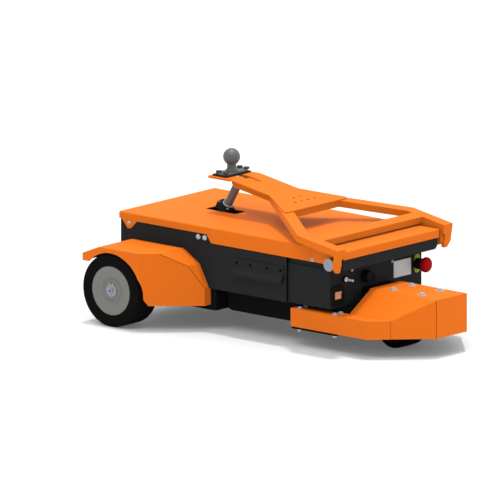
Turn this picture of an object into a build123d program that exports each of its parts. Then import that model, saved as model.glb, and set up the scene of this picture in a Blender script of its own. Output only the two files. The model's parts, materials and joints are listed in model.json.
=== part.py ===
from build123d import *
import math
import os

# Compact battery tug with a lifting hitch arm, in millimetres.
# Stations along X run from the drive end of the lid to the caster end, Y is measured from
# the middle plane and Z from the floor. The whole model is moved back by ORIGIN_X at the end,
# so that its own origin is under the middle of the machine.
ORIGIN_X = 541.5

# Sheet thicknesses
COVER = 3
BODY_WALL = 4

# Lid: a shallow tray turned over the body
LID_LENGTH, LID_HALF, LID_TOP = 865, 212, 308
LID_SKIRT, LID_END, LID_DEEP = 22, 25, 46
LID_BEND = 4
SLOT_X, SLOT_LENGTH, SLOT_WIDTH = 227, 118, 48

# Body tub under the lid
BODY_X0, BODY_SEAM, BODY_X1 = 4, 642, 800
BODY_HALF, REAR_HALF, BODY_BOTTOM = 209, 202, 127
REAR_STEP, REAR_STEP_Z = 3, 246
SEAM_GAP = 0.8
BEAM_X1, BEAM_HALF, BEAM_LOW, BEAM_HIGH = 859, 208, 248, 287
PANEL_X = BODY_X1 + BODY_WALL

# Battery tray below the body and axle box between the wheels
TRAY_X0, TRAY_X1, TRAY_HALF, TRAY_BOTTOM = 383, 826, 168, 60
AXLE_BOX_X0, AXLE_BOX_X1, AXLE_BOX_HALF, AXLE_BOX_BOTTOM = 14, 363, 200, 61

# Drive wheels
WHEEL_X, WHEEL_R, WHEEL_WIDTH, WHEEL_FACE = 94, 107, 90, 357
RIM_R, RIM_BAND_R, DISH_R, HUB_R, SHAFT_R = 72, 52, 29, 17, 12.5

# Fenders: a folded cover with one slanting wall
FENDER_X0, FENDER_BEND, FENDER_CORNER, FENDER_X1 = -12, 51, 200, 344
FENDER_FACE, FENDER_INNER_FACE = 358, 228
FENDER_TOP, FENDER_LOW = 232, 77
ARCH_X, ARCH_Z, ARCH_R = 99.5, 104, 112.5

# Bumper at the caster end
NOSE_X, NOSE_HALF, NOSE_TOP, NOSE_BOTTOM = 1096, 66, 174, 59.5
RIM_HALF, ROOF_HALF, ROOF_LOW, ROOF_X0 = 211, 160, 113.5, 843
STRIP_X0 = 660
CHAMFER_SUM = NOSE_X + NOSE_HALF          # x + |y| on the slanting walls

# Caster
CASTER_X, CASTER_TRAIL, CASTER_R, CASTER_WIDTH = 961, 58, 61, 86
CASTER_PLATE_L, CASTER_PLATE_W, CASTER_BOLT_L, CASTER_BOLT_W = 135, 110, 108, 80
BEAM_TOP, BEAM_THICK = NOSE_TOP - COVER, 10

# Hitch arm: a frame of flat tube that rises towards the drive end
PIVOT_X, PIVOT_Z = 838, 271.5
ARM_SLOPE = math.degrees(math.atan(0.165))
TUBE_W, TUBE_H = 38, 20
ARM_OUT, ARM_NECK = 256, 50
ARM_BACK_X, ARM_BACK_Z = 874.5, 299.7     # lower corner of the tubes' free ends
ARM_TURN_X, ARM_NECK_X, ARM_END_X = 723, 436, 299
CROSS_X0, CROSS_X1 = 752, 791
PLATE_T, PLATE_HALF, PLATE_REAR_HALF = 4, 64, 137
PLATE_WIDEN_X, PLATE_REAR_X, TIP_X = 447, 575, 212
BALL_X, BALL_Z, BALL_R = 250, 470, 25
PIVOT_BORE, PIVOT_SHAFT_R, PIVOT_HEAD_R = 10.05, 10, 18
EAR_IN, EAR_STEP, EAR_LOW = 219, 229, 248.5

# Lifting cylinder, from its foot pin in the body to the eye under the arm's tip
FOOT_X, FOOT_Z = 132, 146
EYE_X, EYE_Z = 279, 400
BARREL_TOP, BARREL_R, BARREL_BORE = 208, 18, 14
HEAD_SIZE, HEAD_SHIFT, ROD_R, ROD_START = 38, 5, 12.5, 32
EYE_R, EYE_PIN_R, EYE_BORE = 15, 5, 9.5

# Side rails with a row of four holes
RAIL_X, RAIL_PITCHES, RAIL_HOLE_R, RAIL_HOLE_Z = 536.5, (84.5, 31.5), 4.5, 217.5

ARM_U = math.cos(math.radians(ARM_SLOPE))
nodes = {}


def block(x0, x1, y0, y1, z0, z1):
    """A box between two corners."""
    size = Box(x1 - x0, y1 - y0, z1 - z0)
    return Pos((x0 + x1) / 2, (y0 + y1) / 2, (z0 + z1) / 2) * size


def prism_xz(points, y0, y1):
    """An outline drawn in X and Z, carried from y0 to y1."""
    face = make_face(Polyline(*[(x, y0, z) for x, z in points], close=True))
    return extrude(face, amount=y1 - y0, dir=(0, 1, 0))


def prism_xy(points, z0, z1):
    """An outline drawn in X and Y, carried from z0 to z1."""
    face = make_face(Polyline(*[(x, y, z0) for x, y in points], close=True))
    return extrude(face, amount=z1 - z0, dir=(0, 0, 1))


def prism_yz(points, x0, x1):
    """An outline drawn in Y and Z, carried from x0 to x1."""
    face = make_face(Polyline(*[(x0, y, z) for y, z in points], close=True))
    return extrude(face, amount=x1 - x0, dir=(1, 0, 0))


def bar_y(x, z, radius, y0, y1):
    """A round bar along Y."""
    return Pos(x, (y0 + y1) / 2, z) * Rot(90, 0, 0) * Cylinder(radius, abs(y1 - y0))


def bar_x(y, z, radius, x0, x1):
    """A round bar along X."""
    return Pos((x0 + x1) / 2, y, z) * Rot(0, 90, 0) * Cylinder(radius, x1 - x0)


def bar_z(x, y, radius, z0, z1):
    """A round bar along Z."""
    return Pos(x, y, (z0 + z1) / 2) * Cylinder(radius, z1 - z0)


def turned_y(profile, x, z):
    """A turned piece on an axis along Y, from a closed outline of (radius, y)."""
    face = make_face(Polyline(*[(r, y, 0) for r, y in profile], close=True))
    return Pos(x, 0, z) * revolve(face, Axis.Y, 360)


def other_side(shape):
    """The same piece on the far side of the middle plane."""
    return mirror(shape, about=Plane.XZ)


def both_sides(name, near):
    """Keeps a piece of the near side (negative Y) and its mirror image."""
    nodes[name + "_right"] = near
    nodes[name + "_left"] = other_side(near)


def lid():
    """Folded tray with a slot for the cylinder, deeper skirts and pointed lugs at its sides."""
    def tray(inset, low, bend):
        shell = block(inset, LID_LENGTH - inset, inset - LID_HALF, LID_HALF - inset, low, LID_TOP - inset)
        rims = shell.edges().filter_by(Axis.Z) + shell.faces().sort_by(Axis.Z)[-1].edges()
        return fillet(rims, bend)

    low = LID_TOP - LID_DEEP
    sheet = tray(0, low, LID_BEND) - tray(COVER, low - 10, LID_BEND - COVER)
    shallow = LID_TOP - LID_SKIRT
    end = LID_LENGTH - COVER
    skirt = [(-5, low - 5), (-5, shallow + 2), (12, shallow + 2), (34, low), (46, low), (70, shallow),
             (338, shallow), (355, low), (752, low), (770, shallow), (end, shallow), (end, LID_TOP - LID_END),
             (LID_LENGTH + 5, LID_TOP - LID_END), (LID_LENGTH + 5, low - 5)]
    sheet -= prism_xz(skirt, -LID_HALF - 5, LID_HALF + 5)
    slot = Pos(SLOT_X, 0, LID_TOP) * extrude(RectangleRounded(SLOT_LENGTH, SLOT_WIDTH, 8), 20, both=True)
    nodes["lid"] = sheet - slot


def body():
    """Tub of three folded sheets, the tray and axle box below it, and the beam for the arm."""
    top = LID_TOP - COVER
    wall = BODY_WALL
    half = BODY_HALF
    outer = block(BODY_X0, BODY_SEAM - SEAM_GAP / 2, -half, half, BODY_BOTTOM, top - 2)
    inner = block(BODY_X0 + wall, BODY_SEAM + 5, wall - half, half - wall, BODY_BOTTOM + wall, top + 5)
    tub = fillet(outer.edges().filter_by(Axis.Z).group_by(Axis.X)[0], 4) - inner
    for pitch in RAIL_PITCHES:
        for x in (RAIL_X - pitch, RAIL_X + pitch):
            tub -= bar_y(x, RAIL_HOLE_Z, RAIL_HOLE_R, -half - 5, half + 5)
    nodes["main_tub"] = tub
    half = REAR_HALF
    step = half - REAR_STEP
    ledge = REAR_STEP_Z
    outline = [(-half, BODY_BOTTOM), (half, BODY_BOTTOM), (half, ledge - REAR_STEP), (step, ledge), (step, top),
               (step - wall, top), (step - wall, BODY_BOTTOM + wall), (wall - step, BODY_BOTTOM + wall),
               (wall - step, top), (-step, top), (-step, ledge), (-half, ledge - REAR_STEP)]
    nodes["rear_tub"] = prism_yz(outline, BODY_SEAM + SEAM_GAP / 2, BODY_X1)

    tray = block(TRAY_X0, TRAY_X1, -TRAY_HALF, TRAY_HALF, TRAY_BOTTOM, BODY_BOTTOM)
    nodes["battery_tray"] = chamfer(tray.faces().sort_by(Axis.Z)[0].edges(), 8)
    axle = block(AXLE_BOX_X0, AXLE_BOX_X1, -AXLE_BOX_HALF, AXLE_BOX_HALF, AXLE_BOX_BOTTOM, BODY_BOTTOM)
    axle = fillet(axle.edges().filter_by(Axis.Z), 6)
    axle -= block(0, AXLE_BOX_X1 + 5, -25, 25, BODY_BOTTOM - 20, BODY_BOTTOM + 5)
    for sign in (-1, 1):
        axle -= bar_y(WHEEL_X, WHEEL_R, SHAFT_R + 2, sign * (AXLE_BOX_HALF - 40), sign * AXLE_BOX_HALF)
    nodes["axle_box"] = axle

    beam = block(PANEL_X, BEAM_X1, -BEAM_HALF, BEAM_HALF, BEAM_LOW, BEAM_HIGH)
    ends = beam.faces().sort_by(Axis.Z)[0].edges().filter_by(Axis.X)
    beam = fillet(chamfer(ends, 9).edges().filter_by(Axis.Y), 3)
    beam -= block(PANEL_X + 4, BEAM_X1 - 4, 12 - BEAM_HALF, BEAM_HALF - 12, BEAM_LOW + 4, BEAM_HIGH - 4)
    nodes["pivot_beam"] = beam


def rear_panel():
    """Control plate at the caster end with its cut-outs, and the controls that fill them."""
    # y, z, cut-out radius of the key switch, the socket and the stop button
    key_y, key_z, key_r = -138, 207, 7
    plug_y, plug_z, plug_r = -48, 203, 16
    stop_y, stop_z, stop_r = 180, 203, 11
    switch_y, switch_z = -172, 165
    panel = block(BODY_X1, PANEL_X, -REAR_HALF, REAR_HALF, BODY_BOTTOM, LID_TOP - COVER)
    for y, z, radius in ((key_y, key_z, key_r), (plug_y, plug_z, plug_r), (stop_y, stop_z, stop_r)):
        panel -= bar_x(y, z, radius + 0.1, BODY_X1 - 5, PANEL_X + 5)
    panel -= block(BODY_X1 - 5, PANEL_X + 5, switch_y - 13.5, switch_y + 13.5, switch_z - 11, switch_z + 11)
    nodes["rear_panel"] = panel

    key = bar_x(key_y, key_z, 9, PANEL_X, PANEL_X + 5) + bar_x(key_y, key_z, key_r, BODY_X1 - 22, PANEL_X + 7)
    nodes["key_switch"] = key + block(PANEL_X + 6, PANEL_X + 34, key_y - 1.5, key_y + 1.5, key_z - 3, key_z + 3)

    face = PANEL_X
    bezel = block(face, face + 5, switch_y - 29, switch_y + 29, switch_z - 29, switch_z + 29)
    bezel = fillet(bezel.edges().filter_by(Axis.X), 14)
    bezel -= block(face - 5, face + 9, switch_y - 13.5, switch_y + 13.5, switch_z - 11, switch_z + 11)
    nodes["switch_bezel"] = fillet(bezel.faces().sort_by(Axis.X)[-1].outer_wire().edges(), 2)
    rocker = prism_xz([(BODY_X1 - 24, switch_z - 10.8), (face + 5, switch_z - 10.8), (face + 4.5, switch_z),
                       (face + 7.5, switch_z + 10.8), (BODY_X1 - 24, switch_z + 10.8)],
                      switch_y - 13.3, switch_y + 13.3)
    nodes["rocker_switch"] = rocker

    socket = bar_x(plug_y, plug_z, 17.5, face, face + 24) + bar_x(plug_y, plug_z, 20, face, face + 4)
    socket += bar_x(plug_y, plug_z, plug_r, BODY_X1 - 30, face)
    nodes["charge_socket"] = socket - bar_x(plug_y, plug_z, 14.5, face + 22.5, face + 30)
    plate = block(face, face + 1.5, 78, 154, 175, 224)
    nodes["label_plate"] = fillet(plate.edges().filter_by(Axis.X), 3)

    plate = block(face, face + 3, stop_y - 12.5, stop_y + 12.5, stop_z - 27, stop_z + 27)
    plate = fillet(plate.edges().filter_by(Axis.X), 12)
    nodes["stop_plate"] = plate - bar_x(stop_y, stop_z, stop_r + 0.1, face - 5, face + 5)
    nodes["stop_collar"] = (bar_x(stop_y, stop_z, 16.5, face + 3, face + 20)
                            + bar_x(stop_y, stop_z, stop_r, BODY_X1 - 20, face + 3))
    cap = [(0, 20), (10, 20), (10, 28), (21, 31), (22.5, 34), (22.5, 39), (18, 44.5), (9, 47.5), (0, 48.5)]
    cap = make_face(Polyline(*[(r, h) for r, h in cap], close=True))
    nodes["stop_button"] = Pos(face, stop_y, stop_z) * Rot(0, 90, 0) * Rot(90, 0, 0) * revolve(cap, Axis.Y, 360)


def drive_side():
    """One drive wheel with its shaft and gear head, on the near side."""
    face = -WHEEL_FACE
    back = face + WHEEL_WIDTH
    inner, outer = -AXLE_BOX_HALF, -BODY_HALF - 42
    head = turned_y([(0, inner), (19, inner), (19, -BODY_HALF - 1), (52, -BODY_HALF - 1), (52, outer + 22),
                     (38, outer + 16), (38, outer), (0, outer)], WHEEL_X, WHEEL_R)
    both_sides("gear_head", head - bar_y(WHEEL_X, WHEEL_R, SHAFT_R + 0.05, outer - 5, inner + 5))
    tread = [(RIM_R, face + 3), (RIM_R + 10, face), (WHEEL_R - 6, face), (WHEEL_R, face + 7),
             (WHEEL_R, back - 7), (WHEEL_R - 6, back), (RIM_R + 10, back), (RIM_R, back - 3)]
    both_sides("drive_tyre", turned_y(tread, WHEEL_X, WHEEL_R))
    rim = [(SHAFT_R, face + 8), (HUB_R + 3, face + 8), (DISH_R, face + 13), (RIM_BAND_R - 10, face + 15),
           (RIM_BAND_R, face + 6), (RIM_R - 6, face + 5), (RIM_R, face + 3), (RIM_R, back - 3),
           (RIM_R - 8, back - 3), (RIM_R - 8, face + 24), (34, face + 26), (34, back - 8), (SHAFT_R, back - 8)]
    both_sides("drive_rim", turned_y(rim, WHEEL_X, WHEEL_R))
    end = turned_y([(0, face - 1), (HUB_R - 2, face - 1), (HUB_R, face + 1), (HUB_R, face + 8), (SHAFT_R, face + 8),
                    (SHAFT_R, -AXLE_BOX_HALF + 30), (0, -AXLE_BOX_HALF + 30)], WHEEL_X, WHEEL_R)
    key = block(WHEEL_X - 5, WHEEL_X + 5, face + 2, face + 8, WHEEL_R + HUB_R - 2, WHEEL_R + HUB_R + 5)
    both_sides("drive_shaft", end + key)


def fender():
    """Wheel cover: one sheet folded down at both ends, with a wall beside the wheel, a slanting
    wall behind it and an end wall, open below and towards the drive end, and its bracket."""
    def wedge(inset, wide):
        """The space under the cover, inset by the sheet's thickness on its closed sides."""
        slant = inset / math.cos(math.radians(45))
        plan = [(FENDER_X0 - wide, -BODY_HALF + wide), (FENDER_X0 - wide, -FENDER_FACE + inset),
                (FENDER_CORNER - slant / 2, -FENDER_FACE + inset),
                (FENDER_X1 - inset, -FENDER_INNER_FACE + slant / 2), (FENDER_X1 - inset, -BODY_HALF + wide)]
        drop = inset * 1.05
        side = [(FENDER_X0 - wide, FENDER_LOW - wide), (FENDER_X0 - wide, 206 - drop - wide * 0.43),
                (FENDER_BEND, FENDER_TOP - inset), (247, FENDER_TOP - inset), (309 - inset / 2, 195 - drop),
                (FENDER_X1 - inset, 130 - inset), (FENDER_X1 - inset, FENDER_LOW - wide)]
        return prism_xy(plan, FENDER_LOW - wide, FENDER_TOP + 1) & prism_xz(side, -FENDER_FACE - 1, 0)

    cover = wedge(0, 0) - wedge(COVER, 5)
    cover -= bar_y(ARCH_X, ARCH_Z, ARCH_R, -FENDER_FACE - 5, -FENDER_FACE + 20)
    cover -= bar_y(WHEEL_X, WHEEL_R, WHEEL_R + 5, -FENDER_FACE - 5, -FENDER_FACE + 20)
    edge = ARCH_X + ARCH_R
    cover -= prism_xz([(FENDER_X0 - 5, FENDER_LOW - 5), (FENDER_X0 - 5, 184), (WHEEL_X - 60, 184), (ARCH_X, ARCH_Z),
                       (edge, ARCH_Z), (edge + 0.5, 95), (edge + 11, FENDER_LOW), (edge + 11, FENDER_LOW - 5)],
                      -FENDER_FACE - 5, -FENDER_INNER_FACE - 90)
    flange = block(FENDER_BEND, 247, -BODY_HALF - COVER, -BODY_HALF, FENDER_TOP - 22, FENDER_TOP - COVER)
    end = block(FENDER_X1 - COVER, FENDER_X1, -BODY_HALF - 1, -AXLE_BOX_HALF, FENDER_LOW, BODY_BOTTOM)
    both_sides("fender", cover + flange + end)
    bracket = block(1, BODY_X0, COVER - FENDER_FACE, -BODY_HALF, 185, 207.5)
    bracket += block(1, BODY_X0 + 14, -BODY_HALF - COVER, -BODY_HALF, 185, 207.5)
    both_sides("fender_bracket", bracket)


def side_rail():
    """Plate with four holes on the body's side, its lower edge turned outwards."""
    face = -BODY_HALF
    plate = block(RAIL_X - 96, RAIL_X + 96, face - 2, face, 200, 232)
    lip = prism_yz([(face, 208), (face - 2, 208), (face - 14, 191), (face - 14, 180), (face - 11, 180),
                    (face - 11, 190), (face, 204)], RAIL_X - 93, RAIL_X + 96)
    rail = plate + lip
    for pitch in RAIL_PITCHES:
        for sign in (-1, 1):
            rail -= bar_y(RAIL_X + sign * pitch, RAIL_HOLE_Z, RAIL_HOLE_R, face - 6, face + 1)
    both_sides("side_rail", rail)


def bolt_holes(shape):
    """The four holes that hold cover, beam and caster plate together."""
    for sx in (-1, 1):
        for sy in (-1, 1):
            shape -= bar_z(CASTER_X + sx * CASTER_BOLT_L / 2, sy * CASTER_BOLT_W / 2, 5.5, 140, 190)
    return shape


def bumper():
    """Faceted cover over the caster, its two side strips, and the beam and brackets that hold them."""
    slope = (NOSE_TOP - ROOF_LOW) / (ROOF_HALF - NOSE_HALF)
    drop = COVER * math.hypot(1, slope)

    def roof(inset, reach):
        """The outline across the cover: flat top, two sloping facets."""
        top = NOSE_TOP - inset
        fall = drop if inset else 0
        ridge = NOSE_HALF - (fall - inset) / slope
        edge = ROOF_LOW - fall - slope * (reach - ROOF_HALF)
        return [(-reach, 40), (-reach, edge), (-ridge, top), (ridge, top), (reach, edge), (reach, 40)]

    def plan(inset, x0, reach):
        """The outline seen from above: straight end, two slanting walls."""
        total = CHAMFER_SUM - inset * math.sqrt(2)
        x1 = NOSE_X - inset
        return [(x0, -reach), (total - reach, -reach), (x1, x1 - total), (x1, total - x1), (total - reach, reach),
                (x0, reach)]

    outer = prism_yz(roof(0, ROOF_HALF), ROOF_X0, NOSE_X) & prism_xy(plan(0, ROOF_X0, ROOF_HALF), NOSE_BOTTOM, 200)
    inner = (prism_yz(roof(COVER, ROOF_HALF + 15), ROOF_X0 - 5, NOSE_X)
             & prism_xy(plan(COVER, ROOF_X0 - 5, ROOF_HALF + 15), 30, 200))
    cover = outer - inner
    nodes["bumper_cover"] = bolt_holes(cover)

    gap = 1.5
    corner = CHAMFER_SUM - RIM_HALF
    end = CHAMFER_SUM - ROOF_HALF - gap
    outline = [(STRIP_X0, -RIM_HALF), (corner, -RIM_HALF), (end, end - CHAMFER_SUM), (end - 1, -ROOF_HALF - gap),
               (STRIP_X0, -ROOF_HALF - gap)]
    hollow_sum = CHAMFER_SUM - COVER * math.sqrt(2)
    hollow = [(STRIP_X0 - 5, -RIM_HALF + COVER), (hollow_sum - RIM_HALF + COVER, -RIM_HALF + COVER),
              (hollow_sum - 140, -140), (STRIP_X0 - 5, -140)]
    strip = prism_xy(outline, NOSE_BOTTOM, ROOF_LOW) - prism_xy(hollow, NOSE_BOTTOM - 5, ROOF_LOW - COVER)
    strip -= block(STRIP_X0 - 5, TRAY_X1 + 3, -TRAY_HALF - gap, -140, 50, ROOF_LOW + 5)
    both_sides("bumper_strip", strip)

    high = ROOF_LOW - COVER
    outside, inside = 6 - RIM_HALF, -TRAY_HALF - 5
    channel = [(-TRAY_HALF, 52), (outside, 52), (outside, 56), (inside, 56), (inside, high - 4), (outside, high - 4),
               (outside, high), (-TRAY_HALF, high)]
    bracket = prism_yz(channel, 658, TRAY_X1)
    both_sides("strip_bracket", bracket)

    under = BEAM_TOP - BEAM_THICK
    beam = block(PANEL_X, CASTER_X + 80, -60, 60, under, BEAM_TOP)
    beam += block(PANEL_X, PANEL_X + 8, -60, 60, BODY_BOTTOM + 2, under)
    for y in (-48, 48):
        beam += prism_xz([(PANEL_X + 8, 134), (PANEL_X + 8, under), (PANEL_X + 30, under)], y - 4, y + 4)
    nodes["caster_beam"] = bolt_holes(beam)


def caster():
    """Swivel caster: bolted plate with its raceway, forked leg, axle bolt and wheel."""
    top = BEAM_TOP - BEAM_THICK
    plate = block(CASTER_X - CASTER_PLATE_L / 2, CASTER_X + CASTER_PLATE_L / 2, -CASTER_PLATE_W / 2,
                  CASTER_PLATE_W / 2, top - 6, top)
    plate = fillet(plate.edges().filter_by(Axis.Z), 10)
    race = make_face(Polyline((0, top - 6), (42, top - 6), (38, top - 14), (0, top - 14), close=True))
    plate += Pos(CASTER_X, 0, 0) * revolve(Plane.XZ.from_local_coords(race), Axis.Z, 360)
    nodes["caster_plate"] = bolt_holes(plate)

    wheel_x = CASTER_X - CASTER_TRAIL
    crown_top = top - 14.4
    gap = 4
    leg_in, leg_out = CASTER_WIDTH / 2 + gap, CASTER_WIDTH / 2 + gap + 6
    crown = bar_z(CASTER_X, 0, 38, crown_top - 8, crown_top) + block(wheel_x - 24, CASTER_X, -leg_out, leg_out,
                                                                     crown_top - 8, crown_top)
    side = [(wheel_x - 24, crown_top), (wheel_x - 16, CASTER_R - 4), (wheel_x - 10, CASTER_R - 14),
            (wheel_x + 10, CASTER_R - 14), (wheel_x + 18, CASTER_R - 2), (CASTER_X - 6, crown_top)]
    fork = crown
    for sign in (-1, 1):
        fork += prism_xz(side, sign * leg_in, sign * leg_out)
        fork -= bar_y(wheel_x, CASTER_R, 6.05, sign * (leg_in - 1), sign * (leg_out + 1))
    nodes["caster_fork"] = fork

    axle = bar_y(wheel_x, CASTER_R, 6, -leg_out - 8, leg_out + 8)
    for sign in (-1, 1):
        nut = extrude(RegularPolygon(10, 6), 4, both=True)
        axle += Pos(wheel_x, sign * (leg_out + 4), CASTER_R) * Rot(90, 0, 0) * nut
    nodes["caster_axle"] = axle
    half = CASTER_WIDTH / 2
    tyre = [(46, -half), (CASTER_R - 5, -half), (CASTER_R - 1, -half + 4), (CASTER_R, -half + 14),
            (CASTER_R, half - 14), (CASTER_R - 1, half - 4), (CASTER_R - 5, half), (46, half)]
    nodes["caster_tyre"] = turned_y(tyre, wheel_x, CASTER_R)
    core = [(6.05, -half - 2), (14, -half - 2), (14, -half + 6), (38, -half + 6), (40, -half), (46, -half),
            (46, half), (40, half), (38, half - 6), (14, half - 6), (14, half + 2), (6.05, half + 2)]
    nodes["caster_rim"] = turned_y(core, wheel_x, CASTER_R)


def arm():
    """Hitch arm: two bent side tubes, a cross tube, ears on the pivots, top plate, ball and pins."""
    deck = Plane(origin=(ARM_BACK_X, 0, ARM_BACK_Z), x_dir=(-math.cos(math.radians(ARM_SLOPE)), 0,
                 math.sin(math.radians(ARM_SLOPE))), z_dir=(math.sin(math.radians(ARM_SLOPE)), 0,
                 math.cos(math.radians(ARM_SLOPE))))

    def along(x):
        return (ARM_BACK_X - x) / ARM_U

    def on_deck(points, low, high):
        """An outline of (station x, y) drawn on the arm's slope and raised from low to high."""
        face = make_face(Polyline(*[(along(x), y) for x, y in points], close=True))
        return deck * (Pos(0, 0, low) * extrude(face, high - low))

    run, rise = along(ARM_NECK_X) - along(ARM_TURN_X), ARM_OUT - ARM_NECK
    shift = TUBE_W * math.tan(math.atan2(rise, run) / 2) * ARM_U
    tube = [(ARM_BACK_X, ARM_OUT), (ARM_TURN_X, ARM_OUT), (ARM_NECK_X, ARM_NECK), (ARM_END_X, ARM_NECK),
            (ARM_END_X, ARM_NECK - TUBE_W), (ARM_NECK_X + shift, ARM_NECK - TUBE_W),
            (ARM_TURN_X + shift, ARM_OUT - TUBE_W), (ARM_BACK_X, ARM_OUT - TUBE_W)]
    near = on_deck(tube, 0, TUBE_H)
    near = near + mirror(near, about=Plane.XZ)
    cheek = [(863, ARM_BACK_Z + 5), (756, ARM_BACK_Z + 24), (765, PIVOT_Z - 4), (PIVOT_X - 17, PIVOT_Z - 5),
             (PIVOT_X - 12, PIVOT_Z - 11), (PIVOT_X, PIVOT_Z - 16), (PIVOT_X + 12, PIVOT_Z - 14), (863, PIVOT_Z - 6)]
    drop = ARM_BACK_Z - EAR_LOW
    stop = [(-ARM_OUT, 5), (-EAR_STEP + 8, 5), (-EAR_IN, 0), (-EAR_IN, -6), (-EAR_STEP, -10), (-EAR_STEP, -drop),
            (-ARM_OUT + 12, -drop), (-ARM_OUT, 18 - drop)]
    end = extrude(make_face(Polyline(*[(0, y, z) for y, z in stop], close=True)), amount=10, dir=(-1, 0, 0))
    end = Pos(ARM_BACK_X, 0, ARM_BACK_Z) * Rot(0, ARM_SLOPE, 0) * end
    ear = prism_xz(cheek, -EAR_STEP, -EAR_IN) + end
    frame = near + ear + other_side(ear)
    inner = ARM_OUT - TUBE_W
    frame += on_deck([(CROSS_X0, -inner - 5), (CROSS_X1, -inner - 5), (CROSS_X1, inner + 5), (CROSS_X0, inner + 5)],
                     0, TUBE_H)
    rear = PLATE_REAR_X - 2
    frame += on_deck([(rear - TUBE_W, -95), (rear, -122), (rear, 122), (rear - TUBE_W, 95)], 0, TUBE_H)
    web = ARM_NECK - TUBE_W + 1
    frame += on_deck([(306, -web), (440, -web), (440, web), (306, web)], TUBE_H - 6, TUBE_H)
    for sign in (-1, 1):
        frame -= bar_y(PIVOT_X, PIVOT_Z, PIVOT_BORE, sign * (inner - 10), sign * (ARM_OUT + 10))
    top = deck.from_local_coords(Vector(along(ARM_END_X), 0, TUBE_H + PLATE_T))
    lug = [(EYE_X - 11, EYE_Z - 4), (EYE_X - 11, top.Z - 6), (ARM_END_X + 1, top.Z - 6),
           (ARM_END_X + 1, EYE_Z - 6), (EYE_X + 6, EYE_Z - 12), (EYE_X - 5, EYE_Z - 12)]
    frame += prism_xz(lug, -20, -14) + prism_xz(lug, 14, 20)
    nodes["arm_frame"] = frame - bar_y(EYE_X, EYE_Z, EYE_PIN_R, -30, 30)

    sheet = [(ARM_END_X, PLATE_HALF), (PLATE_WIDEN_X, PLATE_HALF), (PLATE_REAR_X - 8, PLATE_REAR_HALF),
             (PLATE_REAR_X, PLATE_REAR_HALF - 6), (PLATE_REAR_X, 6 - PLATE_REAR_HALF),
             (PLATE_REAR_X - 8, -PLATE_REAR_HALF), (PLATE_WIDEN_X, -PLATE_HALF), (ARM_END_X, -PLATE_HALF)]
    plate = on_deck(sheet, TUBE_H, TUBE_H + PLATE_T)
    tip = block(TIP_X, ARM_END_X - 1, -PLATE_HALF, PLATE_HALF, top.Z - 6, top.Z)
    tip = fillet(tip.edges().filter_by(Axis.Z).group_by(Axis.X)[0], 6)
    plate += tip + block(ARM_END_X - 2, top.X + 0.5, -PLATE_HALF, PLATE_HALF, top.Z - PLATE_T * ARM_U, top.Z)
    plate -= block(262, 355, -13, 13, 380, 430)
    for x, y in [(497, 14), (497, -14), (528, 14), (528, -14), (528, 42), (528, -42)]:
        plate -= deck * (Pos(along(x), y, TUBE_H) * Cylinder(4.5, 30))
    nodes["arm_plate"] = plate

    nodes["eye_pin"] = bar_y(EYE_X, EYE_Z, EYE_PIN_R, -24, 24)

    seat = block(BALL_X - 28, BALL_X + 28, -55, 55, top.Z, top.Z + 5)
    nodes["ball_seat"] = fillet(seat.edges().filter_by(Axis.Z), 4)
    base = top.Z + 5
    foot = Pos(BALL_X, 0, base) * extrude(RectangleRounded(44, 98, 12), 5)
    stem = [(0, base), (17, base), (17, base + 9), (13.5, base + 12)]
    neck_z = BALL_Z - math.sqrt(BALL_R ** 2 - 13.5 ** 2)
    profile = Polyline(*stem, (13.5, neck_z))
    cap = CenterArc((0, BALL_Z), BALL_R, math.degrees(math.atan2(neck_z - BALL_Z, 13.5)),
                    90 - math.degrees(math.atan2(neck_z - BALL_Z, 13.5)))
    close = Line((0, BALL_Z + BALL_R), (0, base))
    ball = revolve(make_face(Plane.XZ * (profile + cap + close)), Axis.Z, 360)
    nodes["tow_ball"] = foot + Pos(BALL_X, 0, 0) * ball

    for name, sign in (("right", -1), ("left", 1)):
        bolt = bar_y(PIVOT_X, PIVOT_Z, PIVOT_SHAFT_R, sign * BEAM_HALF, sign * (EAR_STEP + 14))
        bolt += bar_y(PIVOT_X, PIVOT_Z, PIVOT_HEAD_R, sign * (EAR_STEP + 10), sign * (EAR_STEP + 21))
        bolt += bar_y(PIVOT_X, PIVOT_Z, 14, sign * (EAR_STEP + 5), sign * (EAR_STEP + 10))
        bolt += bar_y(PIVOT_X, PIVOT_Z, PIVOT_HEAD_R, sign * (EAR_STEP + 1), sign * (EAR_STEP + 5))
        bolt += bar_y(PIVOT_X, PIVOT_Z, 14, sign * (LID_HALF + 1), sign * (EAR_IN - 1))
        nodes["pivot_bolt_" + name] = bolt


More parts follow.
